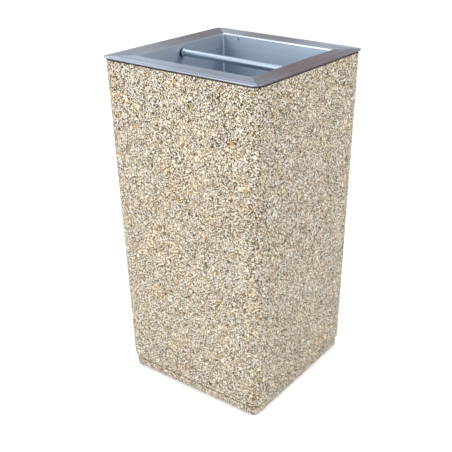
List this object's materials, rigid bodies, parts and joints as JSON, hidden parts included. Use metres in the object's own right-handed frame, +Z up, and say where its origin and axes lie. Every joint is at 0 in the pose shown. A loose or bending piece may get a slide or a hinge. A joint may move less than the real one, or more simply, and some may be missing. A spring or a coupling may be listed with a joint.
{
  "type": "ash bin",
  "caption": "Square tapered concrete ash bin on a recessed plinth, with a lift-out folded steel liner, a flat mitred rim and a round bar across its mouth.",
  "frame": {"origin": "on the ground under the middle of the bin", "axes": "+Z up; -Y is the front; the bar across the mouth runs along X"},
  "size_m": [0.45, 0.45, 0.864],
  "materials": {
    "aggregate": "exposed pebble aggregate in pale grey cement",
    "stainless": "brushed along each member",
    "liner_sheet": "fine satin",
    "weld": "ground weld bead",
    "bar_steel": "satin tube",
    "zinc": "zinc plated",
    "wire": "mill scale",
    "rubber": "matt black",
    "pipe": "grey pipe"
  },
  "bodies": {
    "shell": {"concrete_shell": "aggregate", "base_plinth": "aggregate", "plinth_bolts": "zinc", "plinth_washers": "zinc", "plinth_sockets": "zinc", "foot_screws": "zinc", "rebar_uprights": "wire", "rebar_hoops": "wire", "foot_front_left": "rubber", "foot_front_right": "rubber", "foot_back_right": "rubber", "foot_back_left": "rubber", "plinth_gasket": "rubber", "drain_sleeve": "pipe"},
    "liner": {"liner_front": "stainless", "liner_right": "stainless", "liner_back": "stainless", "liner_left": "stainless", "liner_floor": "liner_sheet", "mitre_gussets": "liner_sheet", "centring_clips": "liner_sheet", "corner_welds": "weld", "lift_bar": "bar_steel", "bar_collars": "bar_steel", "clip_rivets": "bar_steel", "floor_rivets": "bar_steel", "bar_plugs": "zinc", "bar_screws": "zinc", "bar_washers": "zinc", "rim_pads": "rubber"}
  },
  "joints": [
    {"name": "liner_lift", "type": "slide", "parent": "shell", "child": "liner", "axis": [0, 0, 1], "range_m": [0, 0.34]}
  ]
}
